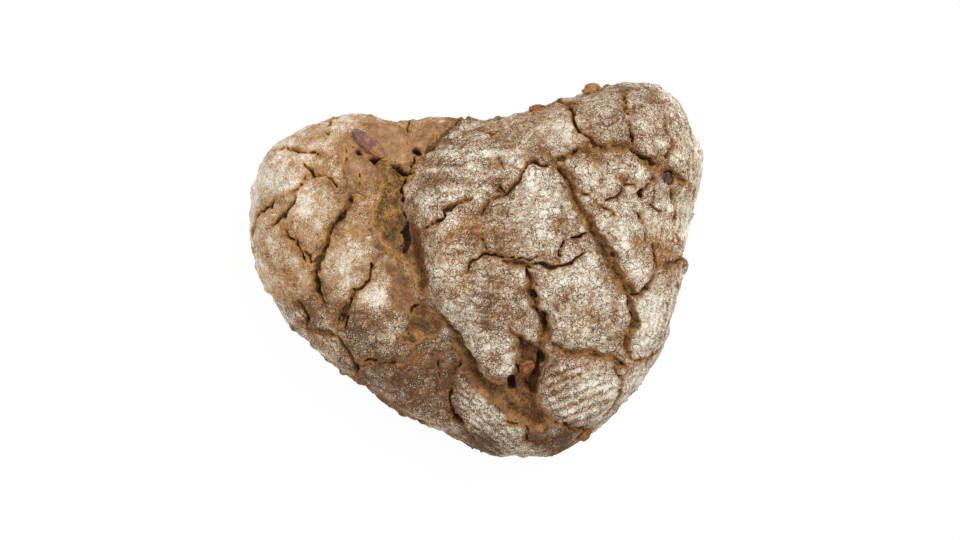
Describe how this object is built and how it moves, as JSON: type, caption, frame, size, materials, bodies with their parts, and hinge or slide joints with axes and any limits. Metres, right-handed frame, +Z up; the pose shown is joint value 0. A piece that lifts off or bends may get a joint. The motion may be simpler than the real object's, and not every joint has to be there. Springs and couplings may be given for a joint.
{
  "type": "heart-shaped rye loaf",
  "caption": "Free-standing heart-shaped rye loaf with a floured, deeply cracked crust, a flat underside and nuts baked into its top.",
  "frame": {"origin": "middle of the flat underside, below the middle of the loaf's box", "axes": "+X along the loaf's length towards its larger lobe, +Y towards the notch side of the heart, +Z up out of the underside"},
  "size_m": [0.2437, 0.2014, 0.0795],
  "materials": {
    "crust": "dry baked rye crust, floured, with torn ochre crumb in its cracks",
    "nut_skin": "roasted nut skin, satin and finely wrinkled"
  },
  "bodies": {
    "root": {"loaf": "crust", "whole_almond": "nut_skin", "nut_on_upper_rim": "nut_skin", "nut_on_right_crown": "nut_skin", "nut_in_right_crack": "nut_skin", "nut_in_lower_tear": "nut_skin", "nut_on_lower_rim": "nut_skin"}
  },
  "joints": []
}
